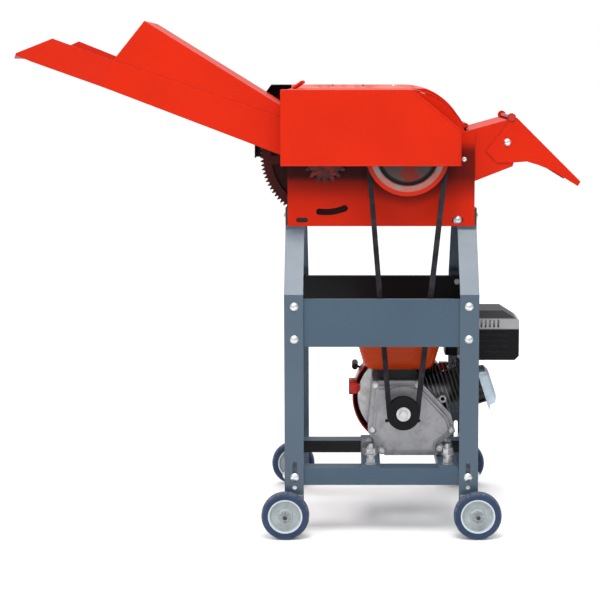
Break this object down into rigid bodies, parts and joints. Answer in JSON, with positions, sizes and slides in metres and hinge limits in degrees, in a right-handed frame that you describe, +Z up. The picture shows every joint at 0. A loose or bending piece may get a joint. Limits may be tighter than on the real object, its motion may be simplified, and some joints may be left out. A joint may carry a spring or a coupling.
{
  "type": "grass shredder",
  "caption": "Wheeled grass shredder: a long feed tray, geared feed rollers and a knife rotor on an angle-steel frame, belt driven by a petrol engine, with a hinged lid and a deflector",
  "frame": {"origin": "On the floor, under the middle of the outline", "axes": "+X runs from the feed tray to the spout, -Y faces the belt side, +Z is up"},
  "size_m": [1.1786, 0.486, 1.079],
  "materials": {
    "red_paint": "gloss enamel over sheet steel",
    "slate_paint": "satin enamel over angle steel",
    "bearing_iron": "painted casting",
    "zinc": "zinc plated",
    "steel": "plain steel, lightly oiled",
    "tyre_rubber": "dark blue rubber",
    "hub_plastic": "pale moulded plastic",
    "black_paint": "satin black paint",
    "belt_rubber": "worn rubber",
    "gear_paint": "dark red painted casting",
    "alloy": "die cast, unpainted",
    "black_plastic": "grained plastic",
    "tank_paint": "gloss orange enamel",
    "shroud_paint": "dark red enamel",
    "red_plastic": "moulded plastic",
    "pulley_paint": "painted casting with a worn rim"
  },
  "bodies": {
    "frame": {"leg_front_left": "slate_paint", "leg_front_right": "slate_paint", "leg_rear_left": "slate_paint", "leg_rear_right": "slate_paint", "upper_panels": "slate_paint", "frame_rails": "slate_paint", "frame_bolts": "zinc", "axles": "zinc", "body_plate_front": "red_paint", "body_plate_rear": "red_paint", "belly_pan": "red_paint", "throat_plate": "steel", "bed_knife": "steel", "bearings": "bearing_iron", "belt_guard": "red_paint", "gear_guard": "black_paint", "feed_tray": "red_paint", "feed_hood": "red_paint", "spout": "red_paint", "drive_belt": "belt_rubber", "crankcase": "alloy", "crankcase_cover": "alloy", "cylinder": "black_paint", "valve_cover": "zinc", "muffler": "steel", "muffler_shield": "black_paint", "air_cleaner": "black_plastic", "carburettor": "alloy", "fuel_tank": "tank_paint", "fan_shroud": "shroud_paint", "engine_bolts": "zinc", "spark_plug": "black_plastic"},
    "rotor": {"rotor_shaft": "steel", "knife_set": "zinc", "rotor_pulley": "pulley_paint", "pinion": "steel"},
    "crank": {"crankshaft": "steel", "engine_pulley": "black_paint"},
    "lower_feed": {"lower_roller": "steel", "feed_gear": "gear_paint"},
    "upper_float": {"float_blocks": "bearing_iron", "feed_springs": "zinc"},
    "upper_feed": {"upper_roller": "steel"},
    "lid": {"rotor_cover": "red_paint"},
    "spout_flap": {"deflector": "red_paint", "deflector_pins": "zinc"},
    "cap": {"fuel_cap": "black_plastic"},
    "throttle": {"throttle_lever": "zinc"},
    "choke": {"choke_lever": "black_plastic"},
    "tap": {"fuel_tap": "black_plastic"},
    "switch": {"engine_switch": "red_plastic"},
    "grip": {"recoil_grip": "black_plastic"},
    "wheel_front_left": {"tyre_front_left": "tyre_rubber", "hub_front_left": "hub_plastic"},
    "wheel_front_right": {"tyre_front_right": "tyre_rubber", "hub_front_right": "hub_plastic"},
    "wheel_rear_left": {"tyre_rear_left": "tyre_rubber", "hub_rear_left": "hub_plastic"},
    "wheel_rear_right": {"tyre_rear_right": "tyre_rubber", "hub_rear_right": "hub_plastic"}
  },
  "joints": [
    {"name": "rotor_spin", "type": "hinge", "parent": "frame", "child": "rotor", "pos_m": [0.22132, 0, 0.802], "axis": [0, -1, 0], "continuous": true},
    {"name": "crank_spin", "type": "hinge", "parent": "frame", "child": "crank", "pos_m": [0.21432, 0, 0.254], "axis": [0, -1, 0], "continuous": true},
    {"name": "lower_roller_spin", "type": "hinge", "parent": "frame", "child": "lower_feed", "pos_m": [0.04966, 0, 0.785], "axis": [0, -1, 0], "continuous": true},
    {"name": "upper_roller_float", "type": "slide", "parent": "frame", "child": "upper_float", "axis": [0, 0, 1], "range_m": [0, 0.008], "stiffness_N_per_m": 8000, "springref_m": -0.01, "deforming": ["feed_springs"]},
    {"name": "upper_roller_spin", "type": "hinge", "parent": "upper_float", "child": "upper_feed", "pos_m": [0.04966, 0, 0.865], "axis": [0, -1, 0], "continuous": true},
    {"name": "cover_open", "type": "hinge", "parent": "frame", "child": "lid", "pos_m": [0.3485, 0, 0.85809], "axis": [0, 1, 0], "range_deg": [0, 100]},
    {"name": "deflector_tilt", "type": "hinge", "parent": "frame", "child": "spout_flap", "pos_m": [0.44232, 0, 0.877], "axis": [0, -1, 0], "range_deg": [-15, 35]},
    {"name": "fuel_cap_turn", "type": "hinge", "parent": "frame", "child": "cap", "pos_m": [0.20682, -0.027, 0.44], "axis": [0, 0, 1], "range_deg": [0, 90]},
    {"name": "throttle_turn", "type": "hinge", "parent": "frame", "child": "throttle", "pos_m": [0.31232, 0.061, 0.316], "axis": [0, -1, 0], "range_deg": [-20, 25]},
    {"name": "choke_turn", "type": "hinge", "parent": "frame", "child": "choke", "pos_m": [0.36732, 0.052, 0.328], "axis": [0, -1, 0], "range_deg": [0, 60]},
    {"name": "fuel_tap_turn", "type": "hinge", "parent": "frame", "child": "tap", "pos_m": [0.35132, 0.052, 0.31], "axis": [0, -1, 0], "range_deg": [0, 90]},
    {"name": "engine_switch_turn", "type": "hinge", "parent": "frame", "child": "switch", "pos_m": [0.11232, 0, 0.276], "axis": [0, -1, 0], "range_deg": [0, 60]},
    {"name": "recoil_grip_pull", "type": "slide", "parent": "frame", "child": "grip", "axis": [-0.866, 0, 0.5], "range_m": [0, 0.06], "stiffness_N_per_m": 60, "springref_m": -0.05},
    {"name": "wheel_front_left_spin", "type": "hinge", "parent": "frame", "child": "wheel_front_left", "pos_m": [-0.03368, -0.222, 0.05], "axis": [0, -1, 0], "continuous": true},
    {"name": "wheel_front_right_spin", "type": "hinge", "parent": "frame", "child": "wheel_front_right", "pos_m": [0.36832, -0.222, 0.05], "axis": [0, -1, 0], "continuous": true},
    {"name": "wheel_rear_left_spin", "type": "hinge", "parent": "frame", "child": "wheel_rear_left", "pos_m": [-0.03368, 0.222, 0.05], "axis": [0, -1, 0], "continuous": true},
    {"name": "wheel_rear_right_spin", "type": "hinge", "parent": "frame", "child": "wheel_rear_right", "pos_m": [0.36832, 0.222, 0.05], "axis": [0, -1, 0], "continuous": true}
  ],
  "couplings": [
    {"joint": "crank_spin", "follows": "rotor_spin", "ratio": 2.6774},
    {"joint": "lower_roller_spin", "follows": "rotor_spin", "ratio": -0.15},
    {"joint": "upper_roller_spin", "follows": "rotor_spin", "ratio": 0.15}
  ]
}
